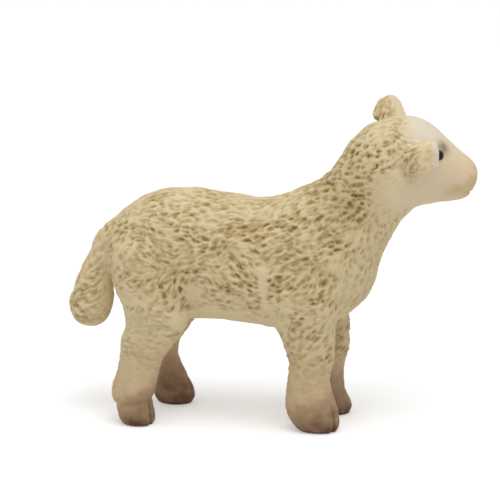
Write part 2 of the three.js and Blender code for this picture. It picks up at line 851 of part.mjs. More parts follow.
// The origin is on the ground under the middle of the whole figure.
const bounds = new THREE.Box3().setFromObject(lamb);
const middle = bounds.getCenter(new THREE.Vector3());
lamb.position.set(-middle.x, -middle.y, 0);
const figure = new THREE.Group();
figure.add(lamb);

export default figure;
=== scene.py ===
import json
import math

import bmesh
import bpy
import numpy as np
from mathutils import Matrix, Vector
from mathutils.bvhtree import BVHTree


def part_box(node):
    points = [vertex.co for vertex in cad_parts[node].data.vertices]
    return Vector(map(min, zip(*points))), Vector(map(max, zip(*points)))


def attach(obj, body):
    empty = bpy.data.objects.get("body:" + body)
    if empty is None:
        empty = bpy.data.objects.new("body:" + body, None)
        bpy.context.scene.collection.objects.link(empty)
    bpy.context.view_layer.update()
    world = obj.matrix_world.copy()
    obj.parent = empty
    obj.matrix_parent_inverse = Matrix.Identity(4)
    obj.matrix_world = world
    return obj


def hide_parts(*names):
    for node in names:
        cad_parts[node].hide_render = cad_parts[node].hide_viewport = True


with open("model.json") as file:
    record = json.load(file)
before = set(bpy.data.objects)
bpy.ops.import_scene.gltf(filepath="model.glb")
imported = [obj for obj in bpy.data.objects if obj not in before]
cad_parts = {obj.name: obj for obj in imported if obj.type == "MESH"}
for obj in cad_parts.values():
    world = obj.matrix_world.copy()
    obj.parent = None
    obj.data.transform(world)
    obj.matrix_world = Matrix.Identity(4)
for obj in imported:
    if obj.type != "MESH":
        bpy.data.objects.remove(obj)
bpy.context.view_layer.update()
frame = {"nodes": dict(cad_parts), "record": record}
mm = 0.001
white = (1, 1, 1, 1)
print("frame loaded")

# camera: the angle and distance that the photograph was taken from
shot = {
    "azimuth": 10.0,
    "elevation": 15.0,
    "distance": 400 * mm,
    "pixelsPerMm": 8.45,
    "framePixels": 500,
    "sensorWidth": 36,
    "clipStart": 0.01,
    "look": (-2.6, -0.4, 20.7),  # what the middle of the picture shows, in mm
}


def viewAxes(azimuth, elevation):
    a, e = math.radians(azimuth), math.radians(elevation)
    right = Vector((math.cos(a), math.sin(a), 0))
    back = Vector((math.sin(a) * math.cos(e), -math.cos(a) * math.cos(e), math.sin(e)))
    return right, back.cross(right), back


def addCamera():
    right, up, back = viewAxes(shot["azimuth"], shot["elevation"])
    data = bpy.data.cameras.new("camera")
    data.sensor_width = shot["sensorWidth"]
    pixelFocal = shot["pixelsPerMm"] / mm * shot["distance"]
    data.lens = pixelFocal * data.sensor_width / shot["framePixels"]
    data.clip_start = shot["clipStart"]
    camera = bpy.data.objects.new("camera", data)
    bpy.context.scene.collection.objects.link(camera)
    place = Vector(shot["look"]) * mm + back * shot["distance"]
    turn = Matrix((right, up, back)).transposed().to_4x4()
    camera.matrix_world = Matrix.Translation(place) @ turn
    bpy.context.scene.camera = camera


addCamera()

# studio: a light tent, brighter from above and a little in front, on a white sweep
studio = {
    "worldStrength": 0.6,
    "seenStrength": 1.0,
    "keyPower": 1.7,
    "keySize": 0.35,
    "keyPlace": (0.08, -0.16, 0.6),
    "keyAim": (0, 0, 0.018),
    "floorSize": 4.0,
    "floorColor": (0.8, 0.8, 0.8, 1),
    "floorGlow": 0.35,  # lifts the floor to white for the eye only
}


def addKeyLight():
    data = bpy.data.lights.new("key", "AREA")
    data.energy = studio["keyPower"]
    data.size = studio["keySize"]
    light = bpy.data.objects.new("key", data)
    bpy.context.scene.collection.objects.link(light)
    place = Vector(studio["keyPlace"])
    light.location = place
    light.rotation_euler = (place - Vector(studio["keyAim"])).to_track_quat("Z", "Y").to_euler()


def seenFactor(tree):
    # 1 for what the camera sees, straight or in a gloss, and 0 for the light on the object
    path = tree.nodes.new("ShaderNodeLightPath")
    total = path.outputs["Is Camera Ray"]
    for name in ("Is Glossy Ray", "Is Transmission Ray"):
        more = tree.nodes.new("ShaderNodeMath")
        more.operation = "MAXIMUM"
        tree.links.new(total, more.inputs[0])
        tree.links.new(path.outputs[name], more.inputs[1])
        total = more.outputs[0]
    return total


def floorPaint():
    material = bpy.data.materials.new("whiteSweep")
    material.use_nodes = True
    tree = material.node_tree
    shader = tree.nodes["Principled BSDF"]
    shader.inputs["Base Color"].default_value = studio["floorColor"]
    shader.inputs["Roughness"].default_value = 1.0
    shader.inputs["Specular IOR Level"].default_value = 0.0
    shader.inputs["Emission Color"].default_value = white
    glow = tree.nodes.new("ShaderNodeMath")
    glow.operation = "MULTIPLY"
    glow.inputs[1].default_value = studio["floorGlow"]
    tree.links.new(seenFactor(tree), glow.inputs[0])
    tree.links.new(glow.outputs[0], shader.inputs["Emission Strength"])
    return material


def addStudio():
    scene = bpy.context.scene
    scene.view_settings.view_transform = "Standard"
    world = bpy.data.worlds.new("studio")
    scene.world = world
    world.use_nodes = True
    tree = world.node_tree
    background = tree.nodes["Background"]
    background.inputs["Color"].default_value = white
    strength = tree.nodes.new("ShaderNodeMix")
    strength.inputs["A"].default_value = studio["worldStrength"]
    strength.inputs["B"].default_value = studio["seenStrength"]
    tree.links.new(seenFactor(tree), strength.inputs["Factor"])
    tree.links.new(strength.outputs["Result"], background.inputs["Strength"])
    addKeyLight()
    bpy.ops.mesh.primitive_plane_add(size=studio["floorSize"])
    floor = bpy.context.object
    floor.name = "floor"
    floor.data.materials.append(floorPaint())


addStudio()
print("studio ready")

# base form: the moulded pieces melted into one skin, as one casting shows no joints
skin = {
    "weld": 0.001 * mm,
    "voxel": 0.27 * mm,
    "blendSteps": 11,  # rounds off where limbs and trunk meet
    "fineSteps": 5,  # the first of them go over the head, ears and hooves too
    "blendRate": 0.6,
    "splitSteps": 2,
    "splitRate": 0.5,
    "labelSteps": 4,
    "capInset": 0.5 * mm,  # how deep each piece is walled in at its borders
}
bodyNodes = [
    "torso", "head", "left_ear", "right_ear", "tail",
    "front_left_leg", "front_right_leg", "hind_left_leg", "hind_right_leg",
    "front_left_hoof", "front_right_hoof", "hind_left_hoof", "hind_right_hoof",
]
legNodes = [name for name in bodyNodes if name.endswith("_leg")]
hoofNodes = [name for name in bodyNodes if name.endswith("_hoof")]


def cadCopy(name):
    work = bmesh.new()
    work.from_mesh(frame["nodes"][name].data)
    bmesh.ops.remove_doubles(work, verts=work.verts, dist=skin["weld"])
    return work


def meltedMesh():
    joined = bmesh.new()
    for name in bodyNodes:
        part = cadCopy(name)
        copy = bpy.data.meshes.new("copy")
        part.to_mesh(copy)
        part.free()
        joined.from_mesh(copy)
        bpy.data.meshes.remove(copy)
    mesh = bpy.data.meshes.new("melt")
    joined.to_mesh(mesh)
    joined.free()
    work = bpy.data.objects.new("melt", mesh)
    bpy.context.scene.collection.objects.link(work)
    remesh = work.modifiers.new("remesh", "REMESH")
    remesh.mode = "VOXEL"
    remesh.voxel_size = skin["voxel"]
    graph = bpy.context.evaluated_depsgraph_get()
    result = bpy.data.meshes.new_from_object(work.evaluated_get(graph))
    bpy.data.objects.remove(work)
    return result


def arraysOf(mesh):
    points = np.empty(len(mesh.vertices) * 3)
    mesh.vertices.foreach_get("co", points)
    loops = np.empty(len(mesh.loops), np.int64)
    mesh.loops.foreach_get("vertex_index", loops)
    totals = np.empty(len(mesh.polygons), np.int64)
    mesh.polygons.foreach_get("loop_total", totals)
    assert (totals == 4).all()
    return points.reshape(-1, 3), loops.reshape(-1, 4)


def sidesOf(quads):
    # every first side, then every second one, and so on
    return np.concatenate([quads[:, [i, (i + 1) % 4]] for i in range(4)])


def edgesOf(quads):
    return np.unique(np.sort(sidesOf(quads), axis=1), axis=0)


def mainShell(points, quads):
    # drops the closed pockets that the pegs leave inside
    edges = edgesOf(quads)
    label = np.arange(len(points))
    while True:
        low = np.minimum(label[edges[:, 0]], label[edges[:, 1]])
        new = label.copy()
        np.minimum.at(new, edges[:, 0], low)
        np.minimum.at(new, edges[:, 1], low)
        new = new[new]
        if (new == label).all():
            break
        label = new
    names, counts = np.unique(label, return_counts=True)
    keep = label == names[counts.argmax()]
    index = np.cumsum(keep) - 1
    return points[keep], index[quads[keep[quads[:, 0]]]]


class Neighbours:
    def __init__(self, count, edges):
        self.count = count
        self.ends = np.concatenate([edges[:, 0], edges[:, 1]])
        self.others = np.concatenate([edges[:, 1], edges[:, 0]])
        self.degree = np.bincount(self.ends, minlength=count).astype(float)

    def mean(self, values):
        values = values.reshape(self.count, -1)
        columns = [np.bincount(self.ends, column[self.others], self.count) for column in values.T]
        return np.stack(columns, axis=1) / self.degree[:, None]


def vertexNormals(points, quads):
    a, b, c, d = (points[quads[:, i]] for i in range(4))
    faceNormals = np.cross(c - a, d - b)
    normals = np.zeros_like(points)
    for i in range(4):
        for axis in range(3):
            normals[:, axis] += np.bincount(quads[:, i], faceNormals[:, axis], len(points))
    return normals / np.maximum(np.linalg.norm(normals, axis=1), 1e-20)[:, None]


def nodeLabels(points, around):
    # which moulding each point of the skin belongs to, with soft borders
    vertices, faces, owners = [], [], []
    for number, name in enumerate(bodyNodes):
        part = cadCopy(name)
        offset = len(vertices)
        part.verts.index_update()
        vertices.extend(v.co.copy() for v in part.verts)
        faces.extend([v.index + offset for v in f.verts] for f in part.faces)
        owners.extend([number] * len(part.faces))
        part.free()
    tree = BVHTree.FromPolygons(vertices, faces)
    nearest = np.array([owners[tree.find_nearest(p)[2]] for p in points.tolist()])
    shares = np.eye(len(bodyNodes))[nearest]
    for _ in range(skin["labelSteps"]):
        shares = 0.5 * shares + 0.5 * around.mean(shares)
    return shares


rawPoints, quads = mainShell(*arraysOf(meltedMesh()))
around = Neighbours(len(rawPoints), edgesOf(quads))
shares = nodeLabels(rawPoints, around)
print("skin", len(rawPoints), "points")


def shareOf(*names):
    return sum(shares[:, bodyNodes.index(name)] for name in names)


def softened(points):
    # evens the skin out, less where it is thin or finely shaped
    fine = np.clip(shareOf("head", "left_ear", "right_ear") + shareOf(*hoofNodes), 0, 1)
    for step in range(skin["blendSteps"]):
        rate = skin["blendRate"] * np.where(step < skin["fineSteps"], 1.0, 1 - fine)
        points = points + rate[:, None] * (around.mean(points) - points)
    return points


def halved(quads, count, *arrays):
    # every quad into four; each array of values gets its edge and face middles
    pairs = np.sort(sidesOf(quads), axis=1)
    edges, inverse = np.unique(pairs[:, 0] * count + pairs[:, 1], return_inverse=True)
    first, second = edges // count, edges % count
    onEdge = count + inverse.reshape(4, -1).T
    onFace = count + len(edges) + np.arange(len(quads))
    finer = [np.stack([quads[:, i], onEdge[:, i], onFace, onEdge[:, i - 1]], axis=1) for i in range(4)]
    values = [np.concatenate([v, (v[first] + v[second]) / 2, v[quads].mean(axis=1)]) for v in arrays]
    return np.concatenate(finer), values


points = softened(rawPoints)
quads, (points, shares) = halved(quads, len(points), points, shares)
around = Neighbours(len(points), edgesOf(quads))
for _ in range(skin["splitSteps"]):
    points = points + skin["splitRate"] * (around.mean(points) - points)
print("skin split to", len(points), "points")


def smoothStep(value, low, high):
    t = np.clip((value - low) / (high - low), 0, 1)
    return t * t * (3 - 2 * t)


def bell(value, width):
    return np.exp(-((value / width) ** 2))


def spot(offset, centre, reach):
    return np.exp(-sum(((o - c) / r) ** 2 for o, c, r in zip(offset, centre, reach)))


# head details, placed from the middle between the eyes: forwards, to the left, and up, in mm
leftEye = sum(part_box("left_eye"), Vector()) / 2
rightEye = sum(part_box("right_eye"), Vector()) / 2
eyeMiddle = np.array((leftEye + rightEye) / 2)
headLeft = np.array((leftEye - rightEye).normalized())
headUp = np.array((0.0, 0.0, 1.0))
headAhead = np.cross(headLeft, headUp)
face = {
    "mouthCorner": (1.4, -4.2),
    "mouthFront": (4.9, -5.2),
    "mouthFade": (0.1, 0.9),  # it deepens over this part of the way from corner to front
    "mouthWidth": 0.2,
    "mouthDepth": 0.2,
    "nostril": (4.56, 0.85, -2.3),
    "nostrilSquash": (1.0, 1.0, 1.5),
    "nostrilSize": 0.36,
    "nostrilDepth": 0.16,
    "brow": (0.6, 2.9, 1.1),
    "browSquash": (0.6, 1.0, 1.0),
    "browSize": 0.8,
    "browHeight": 0.2,
    "tuft": (-3.2, 3.0, -1.5),
    "tuftSize": 0.75,
    "tuftHeight": 0.4,
    "tuftDrop": 0.5,
    "tuftDropWidth": 0.8,
    "eyeRadius": 0.6,
    "lidHeight": 0.17,
    "lidGap": 0.1,
    "lidWidth": 0.2,
    "earDrop": 0.25,
    "earTip": 0.2,
    "earTipFacing": (0.3, 0.9),  # of the normal forwards
    "earBack": 0.5,
    "earBackTop": (3.2, 4.5),
    "earFacing": (0.1, 0.8),  # of the normal down or backwards
    "headShare": (0.3, 0.7),  # keeps these shapes off the neck and the ears
}


def inHead(points):
    offset = (points - eyeMiddle) / mm
    return np.stack([offset @ headAhead, offset @ headLeft, offset @ headUp], axis=1)


def faceShaped(points, normals):
    ahead, left, up = inHead(points).T
    side = np.abs(left)

    def gapTo(place, squash=(1.0, 1.0, 1.0)):
        axes = zip((ahead, side, up), place, squash)
        return np.sqrt(sum((factor * (value - centre)) ** 2 for value, centre, factor in axes))

    corner, front = face["mouthCorner"], face["mouthFront"]
    t = (ahead - corner[0]) / (front[0] - corner[0])
    line = corner[1] + (front[1] - corner[1]) * t
    groove = bell(up - line, face["mouthWidth"]) * smoothStep(t, *face["mouthFade"])
    lift = -face["mouthDepth"] * groove
    lift -= face["nostrilDepth"] * bell(gapTo(face["nostril"], face["nostrilSquash"]), face["nostrilSize"])
    lift += face["browHeight"] * bell(gapTo(face["brow"], face["browSquash"]), face["browSize"])
    lift += face["tuftHeight"] * bell(gapTo(face["tuft"]), face["tuftSize"])
    eyeSide = np.linalg.norm(np.array(leftEye) - eyeMiddle) / mm
    lidLine = gapTo((0.0, eyeSide, 0.0)) - face["eyeRadius"] - face["lidGap"]
    lift += face["lidHeight"] * bell(lidLine, face["lidWidth"])
    # wool hangs under one ear, lengthens its tip and fills up the back of the other
    hang = face["earDrop"] + face["tuftDrop"] * bell(ahead - face["tuft"][0], face["tuftDropWidth"])
    hang = hang * smoothStep(-normals[:, 2], *face["earFacing"])
    hang += face["earTip"] * smoothStep(normals[:, 0], *face["earTipFacing"])
    back = face["earBack"] * smoothStep(-normals[:, 0], *face["earFacing"])
    back *= 1 - smoothStep(up, *face["earBackTop"])
    onHead = smoothStep(shareOf("head"), *face["headShare"])
    lift = lift * onHead + hang * shareOf("right_ear") + back * shareOf("left_ear")
    return points + normals * (lift * mm)[:, None], groove * onHead


normals = vertexNormals(points, quads)
# mouthLine marks the mouth groove, painted darker: ochre paint and painted shade in the groove
points, mouthLine = faceShaped(points, normals)
print("face shaped")

# folds on both sides of the body, as seen from the side: x and z in mm
folds = [
    {"line": [(-9.5, 22.3), (-8.4, 17.8), (-8.8, 14.8)], "width": 0.9, "depth": 0.3},  # flank
    {"line": [(0.3, 20.8), (0.2, 15.8)], "width": 0.5, "depth": 0.22},  # behind the upper arm
    {"line": [(6.9, 20.7), (6.7, 14.5)], "width": 0.4, "depth": 0.14},  # before the upper arm
]
foldSide = (1.5, 4.0)  # they fade in this far from the middle

hoof = {
    "splay": math.radians(22),  # the toes point a little outwards
    "cleftWidth": 0.2,
    "cleftDepth": 0.36,
    "cleftStart": (0.3, 0.6),  # in half lengths of the hoof, forwards from its middle
    "cleftTop": (2.4, 3.4),
    "crease": 2.8,  # height of the crease above the hoof, in mm
    "creaseTilt": 0.4,
    "creaseWidth": 0.3,
    "brownFull": 0.2,
    "brownTilt": 1.4,  # the brown reaches higher in front
    "tiltLimit": 1.2,
    "film": 0.26,  # a thin tan film that reaches higher than the brown
    "filmTop": (5.0, 10.5),
    "wall": 0.3,  # more brown low on the hoof
    "wallHeight": 1.8,
    "sole": 0.9,  # a dark edge round the sole
    "soleHeight": 0.45,
    "bandFull": 0.2,  # share of these two heights up to which they are full
}
feet = {  # how high the brown reaches, how dark it is, and how deep the crease is; heights in mm
    "front_right": (5.6, 0.62, 0.06), "hind_right": (5.2, 0.66, 0.2),
    "front_left": (6.4, 0.62, 0.06), "hind_left": (8.6, 0.8, 0.06),
}


def lineGap(x, z, line):
    best = np.full(len(x), np.inf)
    for (ax, az), (bx, bz) in zip(line, line[1:]):
        t = np.clip(((x - ax) * (bx - ax) + (z - az) * (bz - az)) / ((bx - ax) ** 2 + (bz - az) ** 2), 0, 1)
        best = np.minimum(best, np.hypot(x - ax - t * (bx - ax), z - az - t * (bz - az)))
    return best


def folded(points, normals):
    x, y, z = (points / mm).T
    onBody = shareOf("torso", *legNodes) * smoothStep(np.abs(y), *foldSide)
    lift = np.zeros(len(x))
    for fold in folds:
        lift -= fold["depth"] * bell(lineGap(x, z, fold["line"]), fold["width"])
    return points + normals * (lift * onBody * mm)[:, None]


def hoofShaped(points, normals):
    # the cleft between the toes and the crease above the hoof; also gives the brown paint and the painted
    # shade in the cleft
    brown, cleft, lift = np.zeros((3, len(points)))
    for foot, (reach, tone, creaseDepth) in feet.items():
        low, high = (np.array(corner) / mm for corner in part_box(foot + "_hoof"))
        middle, half = (low + high) / 2, (high - low) / 2
        x, y, z = (points / mm - (middle[0], middle[1], 0)).T
        mine = shareOf(foot + "_hoof", foot + "_leg")
        side = math.copysign(1.0, middle[1])
        forward = x * math.cos(hoof["splay"]) + y * side * math.sin(hoof["splay"])
        across = y * math.cos(hoof["splay"]) - x * side * math.sin(hoof["splay"])
        start, full = (share * half[0] for share in hoof["cleftStart"])
        line = bell(across, hoof["cleftWidth"]) * smoothStep(forward, start, full)
        line = line * (1 - smoothStep(z, *hoof["cleftTop"])) * mine
        along = np.clip(x / half[0], -hoof["tiltLimit"], hoof["tiltLimit"])
        lift -= hoof["cleftDepth"] * line
        crease = bell(z - hoof["crease"] - hoof["creaseTilt"] * along, hoof["creaseWidth"])
        lift -= creaseDepth * crease * mine
        # this mask darkens the paint in the groove: painted shade
        cleft += line
        brown += mine * tone * (1 - smoothStep(z - hoof["brownTilt"] * along, hoof["brownFull"], reach))
        brown += mine * hoof["film"] * (1 - smoothStep(z, *hoof["filmTop"]))
        for band in ("wall", "sole"):
            top = hoof[band + "Height"]
            brown += mine * hoof[band] * (1 - smoothStep(z, hoof["bandFull"] * top, top))
    return points + normals * (lift * mm)[:, None], brown, cleft


points = folded(points, vertexNormals(points, quads))
points, brown, cleft = hoofShaped(points, vertexNormals(points, quads))
normals = vertexNormals(points, quads)
print("folds and hooves shaped")

# the fleece by place, seen from the side: x and z in mm, the angle of its lay above +X, how deep its
# pits are, and how long they are drawn
wool = {
    "places": [
        (-18, 25, 35, 0.85, 0.7), (-15, 26.5, 20, 0.9, 0.8), (-12.5, 28, 5, 0.95, 0.8),
        (-12.7, 24, -20, 0.95, 0.8), (-12.4, 21, -22, 0.9, 0.8), (-8, 26.6, -5, 0.85, 0.8),
        (-9, 24.8, 0, 0.9, 0.8), (-4.7, 27.5, 20, 0.75, 0.8), (-3.3, 25.7, 12, 0.95, 0.8),
        (1.5, 28.3, 45, 0.8, 0.7), (1.0, 26.9, 45, 1.0, 0.7), (2.2, 24.6, 18, 0.95, 0.7),
        (3.4, 22, 50, 1.1, 0.8), (-4.1, 24.3, 38, 1.05, 0.9), (-6.7, 20.6, 0, 1.15, 0.8),
        (-5.2, 21.3, 60, 1.1, 0.7), (-2.8, 21.4, -40, 1.1, 0.7), (-8.8, 20.9, 50, 0.8, 0.8),
        (-5.2, 17.3, -40, 0.95, 0.5), (-4.2, 16.4, -10, 0.8, 0.5), (-11, 18.6, 60, 0.9, 0.7),
        (-10.6, 16.4, 70, 1.05, 0.6), (2.7, 20.4, 45, 1.05, 0.8), (2, 17.4, 10, 0.9, 0.6),
        (6.3, 25, 35, 1.1, 0.6), (8, 23.7, 30, 1.05, 0.6), (4.9, 23.3, 10, 1.0, 0.6),
        (6, 19, 40, 0.95, 0.7), (5.1, 30.2, 10, 1.1, 0.7), (5.5, 28, 15, 1.15, 0.6),
        (8.4, 29.4, 10, 1.3, 0.3), (-19.6, 23.6, 60, 1.2, 0.6), (9.9, 28.3, 10, 1.25, 0.3),
        (11.8, 29.4, -5, 1.2, 0.35), (10.4, 26, 80, 1.0, 0.35), (11.1, 24, 75, 0.7, 0.4),
        (13.2, 25, 75, 0.5, 0.4), (10, 20, 80, 0.45, 0.5), (10, 16, 88, 0.55, 0.5),
        (11.6, 31.5, 45, 1.2, 0.35), (14, 28.5, 10, 0.3, 1.0), (12.2, 36.8, 50, 0.85, 0.6),
        (11.4, 34.8, 65, 1.1, 0.5), (13.3, 34.2, 50, 0.8, 0.5), (14.8, 37.6, -15, 0.65, 0.8),
        (16, 36, -55, 0.8, 0.8), (6, 10, 60, 0.75, 0.6), (5, 6, 15, 0.65, 0.7),
        (-11.5, 13.4, 5, 0.55, 0.7), (-15, 14.5, 30, 0.4, 0.7), (-15, 9, 2, 0.45, 0.8),
        (-20, 21, 50, 0.6, 0.8), (-22, 17, 25, 0.65, 0.9), (-22, 13.5, 15, 0.8, 0.9),
    ],
    "sway": 0.32,  # how far the lay wanders, in radians
    "swayLength": 5 * mm,
    "swaySeed": 11,
    "farEarLay": (0, 0, 3),  # upwards, added to the lay by place
    "tuftLay": (0, 0, 12),
    "tuftReach": (1.3, 1.8),
    "nearEarLay": 4,
    "nearEarFan": 0.25,  # rise for each mm above the eyes
    "fanLimits": (-0.6, 0.2),
    "legTop": (8.0, 12.0),  # below it the lay turns level round the legs
    "legTurn": 0.6,  # how much of the lay by place is given up there
    "levelShare": 0.15,  # a little of the level lay everywhere
    "earDraw": 1.1,
    "patches": (0.9, 0.25),  # deeper and shallower places: the mean and the swing
    "patchLength": 4 * mm,
    "patchSeed": 21,
}
legWool = [(0.3, 2.6, 5.0), (0.7, 5.0, 9.0)]  # share of the depth gained between two heights, in mm
bareSpots = [  # x, z, reach in x, reach in z, in mm: smoother places low on the sides
    (-5.5, 13.6, 3.2, 1.7), (1.2, 14.0, 1.8, 2.2), (-9.6, 13.0, 1.6, 1.6), (0.0, 18.6, 0.7, 2.6),
    (-8.2, 16.5, 0.8, 1.4),
]
bareness = {"depth": 0.8, "edge": (0.5, 1.2), "wave": 0.2, "below": (0.45, 0.85)}  # also underneath
narrower = {"head": 0.25, "rump": 0.12, "rumpStart": (6, 10)}  # pits on the head, ears and rump

# borders of wool and paint on the head, in mm ahead of and above the middle between the eyes
borders = {
    "waveLength": 2.5 * mm,
    "waveSeed": 5,
    "face": -4.0,  # the smooth face begins before the ears
    "cheekBack": 3.4,  # the cheek is smooth this much further back
    "cheek": (0.8, 3.2),  # below the eyes
    "throat": (5.0, 7.5),  # below the eyes, where the wool comes back
    "faceLean": 0.09,
    "faceWave": 0.35,
    "faceEdge": (-0.7, 0.6),
    "faceBare": (0.68, 0.17),  # what is taken off the pits there, and how much more in front
    "front": (-5.5, -3.5),
    "nearTip": (-1.7, -0.6),
    "farTip": (-3.9, -2.9),
    "farTipLean": 0.3,
    "nearSide": (0.0, 1.5),  # to the right of the middle
    "tuftReach": (1.0, 1.3),
    "tuftDepth": 0.9,
    "nearEarRoot": (-3.6, -2.0),
    "earDepth": (0.3, 0.85, 0.5, 0.3),  # on both, at the near ear's root, on the far ear, at the tuft
    "pale": (-6.0, -2.6),
    "paleWave": 0.5,
    "nearEarPaleAndHighlight": (0.15, 0.8),  # all over, and how much more at its tip: pale paint, on this near ear partly a painted highlight
    "farEarPale": (0.1, 0.3),
    "palestBrow": (-0.5, 2.5),
    "browLean": 0.5,
    "stainEnd": (-7.0, -4.5),
}
tailFront = {"depth": 0.6, "x": (-21.0, -19.5), "z": (18.0, 21.0)}  # shallower pits low on its front

# paint by place: two coordinates and two reaches, all in mm, and the strength
stains = [  # from the side, x and z: where more of the wash has stayed
    (9.8, 28, 4.0, 5.0, 1.05), (11.5, 22, 4, 6, 0.5), (5, 20, 4, 6, 0.45), (-11.5, 20, 4, 4, 0.6),
    (-10.8, 16.8, 1.8, 2.4, 0.6), (5, 9, 3, 6, 0.3), (10.8, 12, 1.8, 4, 0.7), (-3.5, 22, 5, 4, 0.2),
    (8, 12, 3.5, 7, 0.3), (-14, 10, 3, 3, 0.4),
]
earRootPaintedShade = (-3.5, -1.2, 0.8, 1.1, 0.7)  # painted shade where the near ear meets the head; on the head, ahead and up
blushes = [  # on the muzzle, ahead and up
    (4.6, -2.4, 1.0, 1.5, 0.7), (3.2, -5.1, 2.4, 0.9, 1.0), (2.5, -4.0, 1.2, 0.8, 0.4),
    (5.0, -0.9, 0.9, 0.9, 0.6), (4.0, -3.2, 1.8, 2.2, 0.4),
]
earBlush = (-1.4, 1.2, 0.8, 0.7, 0.5)
blushWave = 0.5
# how strong the painted highlight over the near ear is
earPaintedHighlight = 0.8
eyeShade = {"place": (0.55, 0.9, 2.9), "reach": (0.95, 0.8, 1.0)}


def waves(points, length, seed, count=24):
    # soft bumps of about that length, between about -1 and 1
    random = np.random.RandomState(seed)
    directions = random.normal(size=(count, 3))
    directions /= np.linalg.norm(directions, axis=1)[:, None]
    phases = random.uniform(0, 2 * math.pi, count)
    lengths = length * random.uniform(0.7, 1.4, count)
    total = np.zeros(len(points))
    for direction, phase, one in zip(directions, phases, lengths):
        total += np.sin(points @ direction * 2 * math.pi / one + phase)
    return total / math.sqrt(count / 2)


def placeWeights(points):
    x, z = points[:, 0] / mm, points[:, 2] / mm
    weights = np.stack([1 / ((x - p[0]) ** 2 + (z - p[1]) ** 2 + 1) ** 2 for p in wool["places"]])
    return weights / weights.sum(axis=0)


def layField(points, normals, weights):
    z = points[:, 2] / mm
    none = np.zeros(len(z))
    angles = np.radians([2 * p[2] for p in wool["places"]])
    angle = 0.5 * np.arctan2(np.sin(angles) @ weights, np.cos(angles) @ weights)
    angle += wool["sway"] * waves(points, wool["swayLength"], wool["swaySeed"])
    lay = np.stack([np.cos(angle), none, np.sin(angle)], axis=1)
    lay += shareOf("left_ear")[:, None] * wool["farEarLay"]
    ahead, _, up = inHead(points).T
    tuft = spot((ahead, up), face["tuft"][::2], wool["tuftReach"]) * shareOf("head", "right_ear")
    lay += tuft[:, None] * wool["tuftLay"]
    fan = np.clip(wool["nearEarFan"] * up, *wool["fanLimits"])
    lay += shareOf("right_ear")[:, None] * (wool["nearEarLay"] * np.stack([none + 1, none, fan], axis=1))
    level = np.cross(normals, headUp)
    level *= np.sign(level[:, 0] + 1e-9)[:, None]
    low = 1 - smoothStep(z, *wool["legTop"])
    lay = lay * (1 - wool["legTurn"] * low)[:, None] + level * (wool["levelShare"] + low)[:, None]
    lay -= normals * (lay * normals).sum(axis=1)[:, None]
    return lay / np.maximum(np.linalg.norm(lay, axis=1), 1e-9)[:, None]


def headZones(points):
    # the smooth face, the ears' tips, the pale paint with a painted highlight on the near ear, and the tuft
    # at the near ear's root
    ahead, left, up = inHead(points).T
    wander = waves(points, borders["waveLength"], borders["waveSeed"])
    border = borders["face"] - borders["cheekBack"] * smoothStep(-up, *borders["cheek"])
    border = border + borders["faceWave"] * wander
    leaning = ahead - borders["faceLean"] * up
    smooth = smoothStep(leaning - border, *borders["faceEdge"]) * (1 - smoothStep(-up, *borders["throat"]))
    tip = smoothStep(ahead, *borders["nearTip"]) * shareOf("right_ear")
    tip += smoothStep(ahead + borders["farTipLean"] * up, *borders["farTip"]) * shareOf("left_ear")
    pale = shareOf("head") * smoothStep(leaning + borders["paleWave"] * wander, *borders["pale"])
    (near, nearMore), (far, farMore) = borders["nearEarPaleAndHighlight"], borders["farEarPale"]
    # the near ear is painted paler than the far one, partly as a painted highlight, most at its tip
    pale += (near + nearMore * tip) * shareOf("right_ear") + (far + farMore * tip) * shareOf("left_ear")
    nearSide = smoothStep(-left, *borders["nearSide"])
    tuft = spot((ahead, up), face["tuft"][::2], borders["tuftReach"]) * nearSide
    smooth = smooth * (1 - shareOf("left_ear", "right_ear"))
    return {
        "wander": wander, "smooth": smooth, "tip": tip, "pale": pale, "nearSide": nearSide, "tuft": tuft,
    }


def pitDepth(points, normals, weights, zone):
    x, _, z = (points / mm).T
    ahead = inHead(points)[:, 0]
    ears, tail = shareOf("left_ear", "right_ear"), shareOf("tail")
    depth = np.array([p[3] for p in wool["places"]]) @ weights
    bare = borders["faceBare"][0] + borders["faceBare"][1] * smoothStep(ahead, *borders["front"])
    aboveFoot = sum(share * smoothStep(z, low, high) for share, low, high in legWool)
    cover = depth * (1 - bare * zone["smooth"]) * aboveFoot
    cover = np.maximum(cover, borders["tuftDepth"] * zone["tuft"] * shareOf("head"))
    for px, pz, rx, rz in bareSpots:
        gap = np.sqrt(((x - px) / rx) ** 2 + ((z - pz) / rz) ** 2) + bareness["wave"] * zone["wander"]
        cover *= 1 - bareness["depth"] * (1 - smoothStep(gap, *bareness["edge"])) * (1 - tail)
    cover *= 1 - bareness["depth"] * smoothStep(-normals[:, 2], *bareness["below"])
    both, nearRoot, far, atTuft = borders["earDepth"]
    onEar = both + nearRoot * (1 - smoothStep(ahead, *borders["nearEarRoot"])) * shareOf("right_ear")
    onEar = (onEar + far * shareOf("left_ear") + atTuft * zone["tuft"]) * (1 - zone["tip"])
    cover = cover * (1 - ears) + onEar * ears
    onFront = smoothStep(x, *tailFront["x"]) * (1 - smoothStep(z, *tailFront["z"]))
    cover *= 1 - tailFront["depth"] * tail * onFront
    mean, swing = wool["patches"]
    return cover * (mean + swing * np.clip(waves(points, wool["patchLength"], wool["patchSeed"]), -1, 1))


def soft(across, up, row):
    return row[4] * spot((across, up), row[:2], row[2:4])


